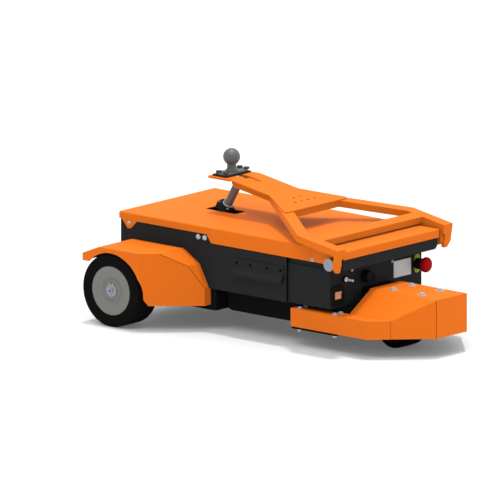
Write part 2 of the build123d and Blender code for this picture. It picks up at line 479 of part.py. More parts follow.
def cylinder():
    """Lifting cylinder: foot bracket, barrel with its square head, rod with an eye."""
    lean = math.degrees(math.atan2(EYE_X - FOOT_X, EYE_Z - FOOT_Z))
    length = math.hypot(EYE_X - FOOT_X, EYE_Z - FOOT_Z)
    place = Pos(FOOT_X, 0, FOOT_Z) * Rot(0, lean, 0)

    floor = BODY_BOTTOM + BODY_WALL
    cheek = [(FOOT_X - 26, floor), (FOOT_X - 12, FOOT_Z + 12), (FOOT_X + 12, FOOT_Z + 12), (FOOT_X + 26, floor)]
    foot = prism_xz(cheek, -25, -19) + prism_xz(cheek, 19, 25)
    foot += block(FOOT_X - 34, FOOT_X + 34, -30, 30, floor, floor + 2)
    foot -= bar_y(FOOT_X, FOOT_Z, 6.05, -30, 30)
    nodes["cylinder_foot"] = foot
    nodes["foot_pin"] = bar_y(FOOT_X, FOOT_Z, 6, -29, 29)

    barrel = Pos(0, 0, (BARREL_TOP - 22 + 20) / 2) * Cylinder(BARREL_R, BARREL_TOP - 22 - 20)
    barrel += Rot(90, 0, 0) * Cylinder(10, 36) + Pos(0, 0, 15) * Box(18, 18, 12)
    head = Pos(-HEAD_SHIFT, 0, BARREL_TOP - 14) * Box(HEAD_SIZE + 2 * HEAD_SHIFT, HEAD_SIZE, 20)
    head = chamfer(head.edges().filter_by(Axis.Z), 6)
    barrel += head + Pos(0, 0, BARREL_TOP - 2) * Cylinder(16, 4)
    barrel -= Pos(0, 0, (26 + BARREL_TOP - 20) / 2) * Cylinder(BARREL_BORE, BARREL_TOP - 20 - 26)
    barrel -= Pos(0, 0, BARREL_TOP) * Cylinder(ROD_R + 0.05, 60)
    barrel -= Rot(90, 0, 0) * Cylinder(6.05, 40)
    nodes["cylinder_barrel"] = place * barrel

    rod = Pos(0, 0, (ROD_START + length - 8) / 2) * Cylinder(ROD_R, length - 8 - ROD_START)
    eye = Pos(0, 0, length) * Rot(90, 0, 0) * Cylinder(EYE_R, 20)
    rod = rod + eye - Pos(0, 0, length) * Rot(90, 0, 0) * Cylinder(EYE_BORE, 40)
    nodes["cylinder_rod"] = place * rod


def battery():
    """The battery as one plain block at its place in the tub."""
    nodes["battery_pack"] = block(400, 700, -150, 150, BODY_BOTTOM + BODY_WALL, 285)


lid()
body()
rear_panel()
drive_side()
fender()
side_rail()
bumper()
caster()
arm()
cylinder()
battery()

os.makedirs("parts", exist_ok=True)
for name, shape in nodes.items():
    export_step(Pos(-ORIGIN_X, 0, 0) * shape, f"parts/{name}.step")
print(len(nodes), "pieces")
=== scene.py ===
# %% [markdown]
# This lesson dresses the battery tug: a low black body with an orange lid, folded orange covers,
# two solid rubber wheels and a hinged arm with a tow ball. The exact solids come from the frame,
# already in metres. What is added here is what the eye needs on top of them: finishes, turned
# wheels with soft edges, screws, weld beads, a floor and light.

# %% Load the frame
import bpy
import bmesh
import json
import math
import numpy as np
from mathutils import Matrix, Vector


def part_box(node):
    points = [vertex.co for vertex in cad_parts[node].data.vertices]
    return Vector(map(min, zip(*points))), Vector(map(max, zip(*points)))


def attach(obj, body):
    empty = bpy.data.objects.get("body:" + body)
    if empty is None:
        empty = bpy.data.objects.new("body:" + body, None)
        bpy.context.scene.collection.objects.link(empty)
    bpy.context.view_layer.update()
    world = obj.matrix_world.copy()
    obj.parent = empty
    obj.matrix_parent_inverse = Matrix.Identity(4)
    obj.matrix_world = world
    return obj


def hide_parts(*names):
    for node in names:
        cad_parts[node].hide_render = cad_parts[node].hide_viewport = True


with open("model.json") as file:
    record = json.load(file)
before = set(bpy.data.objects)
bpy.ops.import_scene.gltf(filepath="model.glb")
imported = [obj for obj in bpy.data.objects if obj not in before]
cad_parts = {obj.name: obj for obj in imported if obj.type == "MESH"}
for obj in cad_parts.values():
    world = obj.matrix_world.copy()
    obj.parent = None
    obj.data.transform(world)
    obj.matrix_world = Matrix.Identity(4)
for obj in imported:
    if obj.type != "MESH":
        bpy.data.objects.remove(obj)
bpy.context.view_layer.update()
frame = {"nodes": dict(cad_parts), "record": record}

# %% [markdown]
# Every shape below is a sheet of points: rows along one parameter, columns along the other. One
# helper turns such a sheet into a mesh. Columns may close on themselves, as round a wheel, and a
# row whose points all meet makes a pole, which is merged so that the surface is closed there.

# %% A sheet of points becomes a mesh
# The frame's origin in metres from the lid's end, the distance at which two points become one, and
# the length below which an edge is dropped.
ORIGIN = np.array([0.5415, 0.0, 0.0])
MERGE, NO_EDGE = 2e-6, 1e-6


def sheet_faces(rows, columns, closed):
    """Quads between neighbouring rows and columns; the last column meets the first when closed."""
    wide = columns if closed else columns - 1
    r, c = np.meshgrid(np.arange(rows - 1), np.arange(wide), indexing="ij")
    right = (c + 1) % columns
    here, ahead = r * columns, (r + 1) * columns
    quads = np.stack([here + c, here + right, ahead + right, ahead + c], -1)
    return quads.reshape(-1, 4)


def sheets_to_piece(name, sheets, closed=True, smooth=40, body=None):
    """Joins point sheets, each rows x columns x 3 in millimetres from the lid's end, in one piece."""
    points, faces, start = [], [], 0
    for sheet in sheets:
        rows, columns = sheet.shape[:2]
        points.append(sheet.reshape(-1, 3))
        faces.append(sheet_faces(rows, columns, closed) + start)
        start += rows * columns
    points = np.concatenate(points) / 1000 - ORIGIN
    faces = np.concatenate(faces)
    mesh = bpy.data.meshes.new(name)
    mesh.from_pydata(points.tolist(), [], faces.tolist())
    work = bmesh.new()
    work.from_mesh(mesh)
    bmesh.ops.remove_doubles(work, verts=work.verts, dist=MERGE)
    bmesh.ops.dissolve_degenerate(work, edges=work.edges, dist=NO_EDGE)
    bmesh.ops.recalc_face_normals(work, faces=work.faces)
    work.to_mesh(mesh)
    work.free()
    mesh.shade_smooth()
    mesh.set_sharp_from_angle(angle=math.radians(smooth))
    piece = bpy.data.objects.new(name, mesh)
    bpy.context.collection.objects.link(piece)
    if body:
        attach(piece, body)
    print(name, "points:", len(mesh.vertices), "faces:", len(mesh.polygons))
    return piece


# %% [markdown]
# Wheels, knobs and screw heads are all turned or nearly turned. `place` lays a flat pattern of
# (across, up, out) on any axis, so that one recipe serves every direction. Most pieces come in
# pairs, and `SIDES` lets a loop make the right one and then the left one.

# %% Axes and turned sheets
AXES = {
    "+Z": ((1, 0, 0), (0, 1, 0), (0, 0, 1)),
    "-Z": ((0, 1, 0), (1, 0, 0), (0, 0, -1)),
    "+Y": ((-1, 0, 0), (0, 0, 1), (0, 1, 0)),
    "-Y": ((1, 0, 0), (0, 0, 1), (0, -1, 0)),
    "+X": ((0, 1, 0), (0, 0, 1), (1, 0, 0)),
    "-X": ((0, -1, 0), (0, 0, 1), (-1, 0, 0)),
}
# Name, sign of Y and outward axis of each side of the machine.
SIDES = (("right", -1, "-Y"), ("left", 1, "+Y"))
# Radius, in millimetres, at which a turned outline ends beside its axis: a hole 0.02 mm wide stays.
POLE = 0.01


def place(pattern, at, axis):
    """Point = centre + across * first direction + up * second + out * third.
    The axis is a name from AXES, or three directions of its own."""
    across, up, out = np.array(AXES[axis] if isinstance(axis, str) else axis, float)
    return np.array(at, float) + pattern @ np.stack([across, up, out])


def turned(profile, at, axis, steps=96):
    """Each (radius, height) of the profile is carried round the axis: x = r cos t, y = r sin t."""
    profile = np.array(profile, float)
    t = np.linspace(0, 2 * np.pi, steps, endpoint=False)
    r, h = profile[:, :1], profile[:, 1:]
    return place(np.stack([r * np.cos(t), r * np.sin(t), h + 0 * t], -1), at, axis)


def rounded(corners, radius, steps=5):
    """Cuts each inner corner of a profile by a quadratic curve that starts `radius` before it, or
    at 0.45 of the run where that is nearer."""
    p = np.array(corners, float)
    out = [p[0]]
    s = np.linspace(0, 1, steps + 1)[:, None]
    for before, corner, after in zip(p[:-2], p[1:-1], p[2:]):
        run_in, run_out = np.linalg.norm(before - corner), np.linalg.norm(after - corner)
        a = corner + (before - corner) / (run_in + 1e-9) * min(radius, 0.45 * run_in)
        b = corner + (after - corner) / (run_out + 1e-9) * min(radius, 0.45 * run_out)
        out.extend((1 - s) ** 2 * a + 2 * s * (1 - s) * corner + s ** 2 * b)
    out.append(p[-1])
    return np.array(out)


def closed_ring(corners, radius, steps=3):
    """A rounded outline that ends on its first point, so that the turned ring has no seam."""
    ring = rounded(corners, radius, steps)
    return np.concatenate([ring, ring[:1]])


def plate(outline, low, high, at, axis, edge=0.0):
    """An outline of (across, up) raised from low to high, its upper rim drawn in by `edge`."""
    flat = np.array(outline, float)
    middle = flat.mean(0)
    away = flat - middle
    shrunk = middle + away * (1 - edge / np.linalg.norm(away, axis=1, keepdims=True))
    centre = middle + 0 * flat
    rows = [(centre, low), (flat, low), (flat, high - edge), (shrunk, high), (centre, high)]
    rows = [np.concatenate([across, np.full((len(flat), 1), level)], 1) for across, level in rows]
    return place(np.stack(rows), at, axis)


def soft_box(wide, deep, radius, steps=6):
    """Outline of a rounded rectangle: corner centre + radius * (cos t, sin t), a quarter per corner."""
    t = np.linspace(0, math.pi / 2, steps)
    turns = np.arange(4)[:, None] * math.pi / 2 + t
    centres = np.array([(1, 1), (-1, 1), (-1, -1), (1, -1)]) * [wide / 2 - radius, deep / 2 - radius]
    corners = centres[:, None] + radius * np.stack([np.cos(turns), np.sin(turns)], -1)
    return corners.reshape(-1, 2)


print("axes:", ", ".join(AXES))

# %% [markdown]
# A hexagon is a circle whose radius depends on the angle: the flat's distance divided by the
# cosine of the angle from the flat's middle. A bolt head mixes that outline with the round
# chamfer on top, and a socket screw has the hexagon sunk in its crown.

# %% Screw and bolt heads
# A limit that no head reaches, and a washer's thickness and its radius in half widths of the head.
FREE = 99
WASHER_HIGH, WASHER_WIDE = 1.6, 1.85


def hexagon(t, flat):
    """Radius of a hexagon at angle t: half the width over flats / cos(angle from a flat's middle)."""
    return flat / np.cos((t + np.pi / 6) % (np.pi / 3) - np.pi / 6)


def head_rows(rows, at, axis, steps=36):
    """Rows of (round radius, hexagon's half width, height); the smaller radius of the two wins."""
    t = np.linspace(0, 2 * np.pi, steps, endpoint=False)
    rows = np.array(rows, float)
    r = np.minimum(rows[:, :1] + 0 * t, hexagon(t, rows[:, 1:2]))
    h = rows[:, 2:] + 0 * t
    return place(np.stack([r * np.cos(t), r * np.sin(t), h], -1), at, axis)


def hex_bolt(at, axis, flat=6.5, high=5.3, washer=True):
    """A hexagon head, chamfered at the top, on a flat washer; returns its sheets."""
    corner = flat / math.cos(math.pi / 6)
    base = WASHER_HIGH if washer else 0.0
    shoulder, top = base + high * 0.86, base + high
    rows = [(POLE, FREE, base), (corner, flat, base), (corner, flat, shoulder), (flat * 0.97, flat, top),
            (POLE, FREE, top)]
    sheets = [head_rows(rows, at, axis)]
    if washer:
        rim = flat * WASHER_WIDE
        ring = [(POLE, FREE, 0), (rim, FREE, 0), (rim, FREE, 1.2), (flat * 1.8, FREE, WASHER_HIGH),
                (POLE, FREE, WASHER_HIGH)]
        sheets.append(head_rows(ring, at, axis))
    return sheets


def dome_screw(at, axis, radius=5.5, high=3.2, socket=0.42):
    """A button head: at the share s of its height the radius is full * sqrt(1 - (0.82 s)^2), and a
    hexagon is sunk in the crown; returns its sheets."""
    crown = [(radius * math.sqrt(1 - (0.82 * s) ** 2), FREE, high * s) for s in np.linspace(0, 1, 6)]
    key = radius * socket
    sunk = [(FREE, key, high), (FREE, key * 0.96, high * 0.45), (POLE, FREE, high * 0.4)]
    return [head_rows([(POLE, FREE, 0)] + crown + sunk, at, axis)]


def dome_nut(at, axis, radius=8.0, high=6.0):
    """A smooth half round head: radius cos s, height sin s."""
    s = np.linspace(0, math.pi / 2, 9)
    dome = [(max(radius * math.cos(v), POLE), FREE, high * math.sin(v)) for v in s]
    return [head_rows([(POLE, FREE, 0)] + dome, at, axis)]


print("heads ready")

# %% [markdown]
# The finishes come next. Two effects are shared: the fine skin of a powder coat, and a little
# floor dust that settles low on the machine. Each is a node group with its own inputs, and each
# material places it with its own values. Colours are linear values, tuned by comparing renders with
# the photograph.

# %% Node helpers
# Places of the sockets of a Mix node, for colours and for plain values; its factor is input 0.
COLOUR_A, COLOUR_B, COLOUR_OUT = 6, 7, 2
VALUE_A, VALUE_B, VALUE_OUT = 2, 3, 0


def add(tree, kind, **values):
    """Adds a node and sets the named inputs and settings on it."""
    node = tree.nodes.new(kind)
    for key, value in values.items():
        if key in node.inputs:
            node.inputs[key].default_value = value
        else:
            setattr(node, key, value)
    return node


def group(name, inputs, outputs):
    """An empty shader group with named sockets; inputs map a name to its default value."""
    tree = bpy.data.node_groups.new(name, "ShaderNodeTree")
    for key, value in inputs.items():
        kind = "NodeSocketColor" if isinstance(value, tuple) else "NodeSocketFloat"
        tree.interface.new_socket(key, in_out="INPUT", socket_type=kind).default_value = value
    for key, kind in outputs.items():
        tree.interface.new_socket(key, in_out="OUTPUT", socket_type=kind)
    return tree, tree.nodes.new("NodeGroupInput"), tree.nodes.new("NodeGroupOutput")


print("node helpers ready")

# %% Shared effect: the skin of a sprayed or moulded surface


def surface_skin():
    """Height = fine noise; Tone = large slow noise that shades the colour; both from object space."""
    tree, ins, outs = group("surface_skin", {"Grain": 700.0, "Tone Size": 9.0},
                            {"Height": "NodeSocketFloat", "Tone": "NodeSocketFloat"})
    spot = add(tree, "ShaderNodeTexCoord")
    grain = add(tree, "ShaderNodeTexNoise", Detail=2.0, Roughness=0.5)
    slow = add(tree, "ShaderNodeTexNoise", Detail=3.0, Roughness=0.6)
    link = tree.links.new
    link(spot.outputs["Object"], grain.inputs["Vector"])
    link(spot.outputs["Object"], slow.inputs["Vector"])
    link(ins.outputs["Grain"], grain.inputs["Scale"])
    link(ins.outputs["Tone Size"], slow.inputs["Scale"])
    link(grain.outputs["Fac"], outs.inputs["Height"])
    link(slow.outputs["Fac"], outs.inputs["Tone"])
    return tree


SKIN = surface_skin()
print("group:", SKIN.name)

# %% Shared effect: floor dust
DUST_COLOUR = (0.32, 0.29, 0.26, 1.0)


def floor_dust():
    """Mask = (1 - height above the floor / Reach), clamped, times patchy noise, times Amount."""
    tree, ins, outs = group("floor_dust", {"Colour": (0.5, 0.5, 0.5, 1.0), "Reach": 0.2, "Amount": 0.15},
                            {"Colour": "NodeSocketColor", "Mask": "NodeSocketFloat"})
    spot = add(tree, "ShaderNodeTexCoord")
    split = add(tree, "ShaderNodeSeparateXYZ")
    low = add(tree, "ShaderNodeMapRange")
    low.inputs["To Min"].default_value = 1.0
    low.inputs["To Max"].default_value = 0.0
    patch = add(tree, "ShaderNodeTexNoise", Scale=26.0, Detail=5.0, Roughness=0.65)
    both = add(tree, "ShaderNodeMath", operation="MULTIPLY")
    share = add(tree, "ShaderNodeMath", operation="MULTIPLY")
    mix = add(tree, "ShaderNodeMix", data_type="RGBA")
    mix.inputs[COLOUR_B].default_value = DUST_COLOUR
    link = tree.links.new
    link(spot.outputs["Object"], split.inputs[0])
    link(spot.outputs["Object"], patch.inputs["Vector"])
    link(split.outputs["Z"], low.inputs["Value"])
    link(ins.outputs["Reach"], low.inputs["From Max"])
    link(low.outputs[0], both.inputs[0])
    link(patch.outputs["Fac"], both.inputs[1])
    link(both.outputs[0], share.inputs[0])
    link(ins.outputs["Amount"], share.inputs[1])
    link(share.outputs[0], mix.inputs[0])
    link(ins.outputs["Colour"], mix.inputs[COLOUR_A])
    link(mix.outputs[COLOUR_OUT], outs.inputs["Colour"])
    link(share.outputs[0], outs.inputs["Mask"])
    return tree


DUST = floor_dust()
print("group:", DUST.name)

# %% [markdown]
# Most finishes on the tug differ only in colour, gloss, grain and how dusty they are, so one
# maker wires the two groups into a Principled surface: tone varies the colour and the roughness
# a little, grain goes to a bump, and dust is laid on last. `bounce` is for the orange coat: light
# that has met another surface first finds it grey, which keeps red light off its neighbours.

# %% A finish for coats, plastics and bare metal
# How far the roughness strays to either side, and the height of the grain in metres.
STRAY, RELIEF = 0.05, 0.0006


def finish(name, colour, rough, grain, bump, tone, dust, shine, metal, brushed=None, bounce=None):
    """Colour = from base * (1 - tone) to base * (1 + tone) by slow noise, then dust; roughness rises
    with both.
    Light that has already met another surface sees the grey level `bounce` instead of the colour."""
    material = bpy.data.materials.new(name)
    material.use_nodes = True
    tree = material.node_tree
    surface = tree.nodes["Principled BSDF"]
    surface.inputs["Metallic"].default_value = metal
    surface.inputs["Specular IOR Level"].default_value = shine
    link = tree.links.new
    skin = add(tree, "ShaderNodeGroup", node_tree=SKIN)
    skin.inputs["Grain"].default_value = grain
    shade = add(tree, "ShaderNodeMix", data_type="RGBA")
    shade.inputs[COLOUR_A].default_value = (*[v * (1 - tone) for v in colour], 1.0)
    shade.inputs[COLOUR_B].default_value = (*[min(v * (1 + tone), 1.0) for v in colour], 1.0)
    link(skin.outputs["Tone"], shade.inputs[0])
    settle = add(tree, "ShaderNodeGroup", node_tree=DUST)
    settle.inputs["Amount"].default_value = dust
    link(shade.outputs[COLOUR_OUT], settle.inputs["Colour"])
    if bounce is None:
        link(settle.outputs["Colour"], surface.inputs["Base Color"])
    else:
        ray = add(tree, "ShaderNodeLightPath")
        plain = add(tree, "ShaderNodeMix", data_type="RGBA")
        plain.inputs[COLOUR_B].default_value = (bounce, bounce, bounce, 1.0)
        link(ray.outputs["Is Diffuse Ray"], plain.inputs[0])
        link(settle.outputs["Colour"], plain.inputs[COLOUR_A])
        link(plain.outputs[COLOUR_OUT], surface.inputs["Base Color"])
    gloss = add(tree, "ShaderNodeMapRange")
    gloss.inputs["To Min"].default_value = rough - STRAY
    gloss.inputs["To Max"].default_value = rough + STRAY
    link(skin.outputs["Tone"], gloss.inputs["Value"])
    dull = add(tree, "ShaderNodeMath", operation="ADD", use_clamp=True)
    link(gloss.outputs[0], dull.inputs[0])
    link(settle.outputs["Mask"], dull.inputs[1])
    link(dull.outputs[0], surface.inputs["Roughness"])
    relief = add(tree, "ShaderNodeBump", Strength=bump, Distance=RELIEF)
    if brushed:
        spot = add(tree, "ShaderNodeTexCoord")
        stretch = add(tree, "ShaderNodeMapping", Scale=brushed)
        lines = add(tree, "ShaderNodeTexNoise", Scale=1.0, Detail=3.0, Roughness=0.6)
        link(spot.outputs["Object"], stretch.inputs["Vector"])
        link(stretch.outputs[0], lines.inputs["Vector"])
        link(lines.outputs["Fac"], relief.inputs["Height"])
    else:
        link(skin.outputs["Height"], relief.inputs["Height"])
    link(relief.outputs["Normal"], surface.inputs["Normal"])
    print("finish:", name)
    return material


# %% [markdown]
# The record gives every solid a slot, such as orange paint or zinc plate. One finish per slot
# keeps the machine consistent, and a solid takes its finish by putting it in its material slots.
# Three more looks are for single parts: dark bolts at the ball's foot, dull zinc on the pivots and
# shaft ends, and bright steel on the key.

# %% The machine's finishes
LOOKS = {
    # Slot, or a single part's look: name, linear colour, roughness, grain, bump, tone, dust, shine, metal.
    "orange_paint": ("orange_powder_coat", (0.86, 0.177, 0.012), 0.6, 620, 0.10, 0.03, 0.005, 0.05, 0.0),
    "black_paint": ("black_powder_coat", (0.0182, 0.0192, 0.0196), 0.6, 900, 0.14, 0.10, 0.004, 0.08, 0.0),
    # The underbody black is darker than the body's coat as painted shade: the low parts under the body take
    # it.
    "lower_black": ("underbody_black_painted_shade", (0.006, 0.006, 0.006), 0.75, 700, 0.14, 0.10, 0.004, 0.04, 0.0),
    "steel": ("machined_steel", (0.135, 0.134, 0.130), 0.46, 500, 0.05, 0.06, 0.0, 0.45, 0.25),
    "dark_bolt": ("dark_bolt", (0.045, 0.049, 0.053), 0.45, 500, 0.03, 0.05, 0.0, 0.3, 0.2),
    "zinc_plate": ("zinc_plate", (0.50, 0.53, 0.56), 0.40, 240, 0.05, 0.08, 0.0, 0.4, 0.3),
    "pivot_zinc": ("dull_zinc", (0.31, 0.34, 0.385), 0.45, 240, 0.05, 0.08, 0.0, 0.3, 0.3),
    "bright_steel": ("bright_steel", (0.80, 0.80, 0.80), 0.35, 500, 0.02, 0.03, 0.0, 0.4, 0.2),
    "cast_grey": ("turned_grey_alloy", (0.218, 0.215, 0.200), 0.55, 420, 0.06, 0.05, 0.0, 0.2, 0.0),
    "rod_chrome": ("ground_rod", (0.22, 0.175, 0.155), 0.42, 700, 0.05, 0.08, 0.0, 0.5, 0.35),
    "tyre_black": ("solid_rubber", (0.004, 0.004, 0.0039), 0.8, 1300, 0.22, 0.15, 0.002, 0.05, 0.0),
    "stop_red": ("red_plastic", (0.38, 0.001, 0.004), 0.45, 900, 0.02, 0.03, 0.0, 0.05, 0.0),
    "stop_base_yellow": ("yellow_green_plastic", (0.38, 0.47, 0.02), 0.4, 900, 0.03, 0.04, 0.0, 0.2, 0.0),
    "switch_black": ("black_plastic", (0.0075, 0.0078, 0.008), 0.6, 1500, 0.06, 0.08, 0.0, 0.06, 0.0),
    "rocker_orange": ("lit_orange_plastic", (0.86, 0.36, 0.20), 0.35, 900, 0.02, 0.05, 0.0, 0.2, 0.0),
    "label_grey": ("label_film", (0.74, 0.72, 0.71), 0.42, 1100, 0.02, 0.03, 0.0, 0.2, 0.0),
    "battery_case": ("battery_case", (0.03, 0.03, 0.032), 0.5, 800, 0.08, 0.08, 0.02, 0.3, 0.0),
}
# The orange coat's grey for bounced light, and the scale of the grinding lines on the rod.
EXTRAS = {"orange_paint": dict(bounce=0.42), "rod_chrome": dict(brushed=(500, 500, 60))}
FINISHES = {look: finish(*row, **EXTRAS.get(look, {})) for look, row in LOOKS.items()}
for part in frame["record"]["subparts"]:
    node = frame["nodes"][part["node"]]
    node.data.materials.clear()
    look = "bright_steel" if part["node"] == "key_switch" else part["material_slot"]
    node.data.materials.append(FINISHES[look])


def dress(piece, slot, look=None):
    """Gives a new piece the finish of its slot, or the finish named by `look`."""
    piece.data.materials.append(FINISHES[look or slot])
    return piece


# %% [markdown]
# The drive tyres are solid rubber with a flat face and soft shoulders, and fine moulding rings on
# the side wall. A solid of revolution with many steps keeps the round outline clean, so it takes
# the place of the coarser solid, which stays in the physics model.

# %% Drive tyres
# Place of the axle and sizes of a wheel, in millimetres; `face` is the tyre's outer face along Y.
WHEEL = dict(x=94.0, z=107.0, radius=107.0, face=357.0, width=90.0, rim=72.0, shoulder=6.0)


def hub_centre(sign):
    """Middle of a wheel's outer face: the axle's place, out to the face on the side of the sign."""
    return np.array((WHEEL["x"], sign * WHEEL["face"], WHEEL["z"]))


def tyre_profile(outer, bead, width, shoulder):
    """Closed outline (radius, out): side wall with two small ridges, shoulder curve, flat tread."""
    half = [(bead, -2.5), (bead + 4, -1.2), (bead + 12, 0.0), (outer - 17, 0.0), (outer - 16, 0.7),
            (outer - 14.6, 0.7), (outer - 13.6, 0.0), (outer - 0.25 * shoulder, -0.2), (outer, -shoulder)]
    near = rounded(half, shoulder * 0.8, 6)
    far = near[::-1] * [1, -1] - [0, width]
    return np.concatenate([near, far, near[:1]])


tyre_ring = tyre_profile(WHEEL["radius"], WHEEL["rim"], WHEEL["width"], WHEEL["shoulder"])
for side, sign, axis in SIDES:
    tyre = sheets_to_piece(f"tyre_{side}", [turned(tyre_ring, hub_centre(sign), axis, 200)], smooth=35)
    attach(tyre, f"wheel_{side}")
    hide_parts(f"drive_tyre_{side}")
    dress(tyre, "tyre_black")

# %% [markdown]
# The rim is a casting turned on its face: a wide flat band at the edge, a groove, a dished web
# and a boss that carries the shaft. Its profile has small radii where a lathe tool leaves them.

# %% Drive rims
# Outlines of the rim's face and back: radius, and how far out of the tyre's face.
RIM_PROFILE = [(12.5, -8), (19, -8), (25, -8), (29, -10), (33, -12.5), (37, -10), (41, -7.2),
               (46, -8.2), (53, -8), (57, -5.8), (62, -4.6), (68, -4.0), (70.5, -2.4), (72, -3.2)]
BACK_PROFILE = [(72, -87), (64, -87), (64, -24), (34, -26), (34, -82), (12.5, -82)]
face = rounded(RIM_PROFILE, 1.4, 4)
rim_ring = np.concatenate([face, BACK_PROFILE, face[:1]])
for side, sign, axis in SIDES:
    rim = sheets_to_piece(f"rim_{side}", [turned(rim_ring, hub_centre(sign), axis, 160)], smooth=32)
    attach(rim, f"wheel_{side}")
    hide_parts(f"drive_rim_{side}")
    dress(rim, "cast_grey")

# %% [markdown]
# The shaft's end shows in the hub: a dull zinc keeper washer with two small tabs bent up beside
# the key, and a socket screw. Shaft and washer are one turned outline, and they stop level with the
# outside of the fender, as the solid shaft does.

# %% Drive shafts
SHAFT = [(POLE, -187), (12.45, -187), (12.45, -8.05), (18.6, -8.05), (18.6, -4.4), (18.0, -3.8), (POLE, -3.8)]
SOCKET_SCREW = [(POLE, FREE, -3.8), (8.2, FREE, -3.8), (8.2, FREE, 0.0), (7.4, FREE, 0.8), (FREE, 4.3, 0.8),
                (FREE, 4.1, -2.6), (POLE, FREE, -2.7)]
# One tab's outline, from where to where it stands out, the tabs' places across, and their height.
TAB, TAB_OUT = soft_box(6.5, 9.0, 1.6, 4), (-8.0, -2.2)
TAB_ACROSS, TAB_UP = (-7.0, 6.0), 18.5
for side, sign, axis in SIDES:
    hub = hub_centre(sign)
    sheets = [turned(SHAFT, hub, axis, 72), head_rows(SOCKET_SCREW, hub, axis, 48)]
    for across in TAB_ACROSS:
        sheets.append(plate(TAB, *TAB_OUT, hub + (across, 0, TAB_UP), axis, 0.6))
    shaft = sheets_to_piece(f"shaft_{side}", sheets, smooth=30)
    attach(shaft, f"wheel_{side}")
    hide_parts(f"drive_shaft_{side}")
    dress(shaft, "zinc_plate", "pivot_zinc")

# %% [markdown]
# Screws tell a viewer the machine's size. The lists below give each one's place in millimetres
# from the lid's end; all the screws of one cover make one piece, which rides with that cover.

# %% Screws of the lid and the body
LID_SIDE, BODY_SIDE = 212.0, 209.0
lid_screws, body_bolts = [], []
for _, sign, axis in SIDES:
    for x, z, radius in ((40.5, 277, 5.6), (745, 269, 6.2)):
        lid_screws += dome_screw((x, sign * LID_SIDE, z), axis, radius, 3.6)
    for x in (304, 329):
        body_bolts += dome_nut((x, sign * BODY_SIDE, 274), axis, 8.3, 6.5)
for y in (-150, 0, 150):
    lid_screws += dome_screw((0.0, y, 297), "-X", 5.6, 3.6)
dress(sheets_to_piece("lid_screws", lid_screws, body="chassis"), "zinc_plate")
dress(sheets_to_piece("body_bolts", body_bolts, body="chassis"), "zinc_plate")

# %% Bolts of the bumper and its strips
COVER_TOP, STRIP_TOP, STRIP_FOOT = 174.0, 113.5, 52.0
cover_bolts = []
for x in (907, 1015):
    for y in (-40, 40):
        cover_bolts += hex_bolt((x, y, COVER_TOP), "+Z", 6.5, 5.3)
dress(sheets_to_piece("cover_bolts", cover_bolts, body="chassis"), "zinc_plate")
strip_bolts = []
for sign in (-1, 1):
    for x in (686, 820):
        for y in (199, 173):
            strip_bolts += hex_bolt((x, sign * y, STRIP_TOP), "+Z", 5.0, 4.0)
        strip_bolts += hex_bolt((x, sign * 199, STRIP_FOOT), "-Z", 6.5, 6.0, washer=False)
dress(sheets_to_piece("strip_bolts", strip_bolts, body="chassis"), "zinc_plate")

# %% [markdown]
# Each gear head is bolted to the axle box through a ring of small hexagon heads. They show between
# the wheel and the body from the drive end.

# %% Gear head bolts
GEAR_FACE, BOLT_CIRCLE = 229.0, 45.0
gear_bolts = []
for _, sign, axis in SIDES:
    for turn in np.arange(6) * math.pi / 3:
        x, z = WHEEL["x"] + BOLT_CIRCLE * math.cos(turn), WHEEL["z"] + BOLT_CIRCLE * math.sin(turn)
        gear_bolts += hex_bolt((x, sign * GEAR_FACE, z), axis, 4.0, 3.6, washer=False)
dress(sheets_to_piece("gear_bolts", gear_bolts, body="chassis"), "zinc_plate")

# %% [markdown]
# A folded plate under the front of each fender ties it to the body: a web across the fender and a
# short flange on the body's side. Both are flat plates with a small chamfer.

# %% Fender brackets
# The web starts at `front` and runs from `outer` to the body, the flange from `front` to `back`.
BRACKET = dict(front=1, back=18, low=187, high=207.5, outer=355, sheet=3, chamfer=0.4)


def upright(start, end):
    """Corners of an upright rectangle: across from start to end, up from the bracket's low to high."""
    low, high = BRACKET["low"], BRACKET["high"]
    return [(start, low), (end, low), (end, high), (start, high)]


for side, sign, axis in SIDES:
    web = upright(sign * BRACKET["outer"], sign * BODY_SIDE)
    flange = upright(-sign * BRACKET["front"], -sign * BRACKET["back"])
    sheets = [plate(web, 0, BRACKET["sheet"], (BRACKET["front"], 0, 0), "+X", BRACKET["chamfer"]),
              plate(flange, 0, BRACKET["sheet"], (0, sign * BODY_SIDE, 0), axis, BRACKET["chamfer"])]
    bracket = sheets_to_piece(f"bracket_{side}", sheets, body="chassis")
    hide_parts(f"fender_bracket_{side}")
    # The brackets take the darker underbody black, which paints the shade under the fenders.
    dress(bracket, "lower_black")

# %% [markdown]
# The covers are folded from flat sheet, and where two flaps meet at a corner a hairline gap stays
# open and reads as a thin dark line of shade. A very thin round strip of black plastic laid in the
# corner paints that shade.

# %% Painted shade of the hairline gaps at the folded corners
# A direction that no strip follows, from which its own two cross directions are worked out.
SLANT = (0.21, 0.35, 0.91)


def strand(points, radius):
    """A round strip through the points: straight between them, radius constant, ends closed."""
    line = np.array(points, float)
    ahead = np.gradient(line, axis=0)
    ahead /= np.linalg.norm(ahead, axis=1, keepdims=True)
    side = np.cross(ahead, SLANT)
    side /= np.linalg.norm(side, axis=1, keepdims=True)
    up = np.cross(ahead, side)
    t = np.linspace(0, 2 * np.pi, 6, endpoint=False)[:, None]
    rings = line[:, None] + radius * (np.cos(t) * side[:, None] + np.sin(t) * up[:, None])
    return np.concatenate([line[:1, None] + 0 * rings[:1], rings, line[-1:, None] + 0 * rings[-1:]])


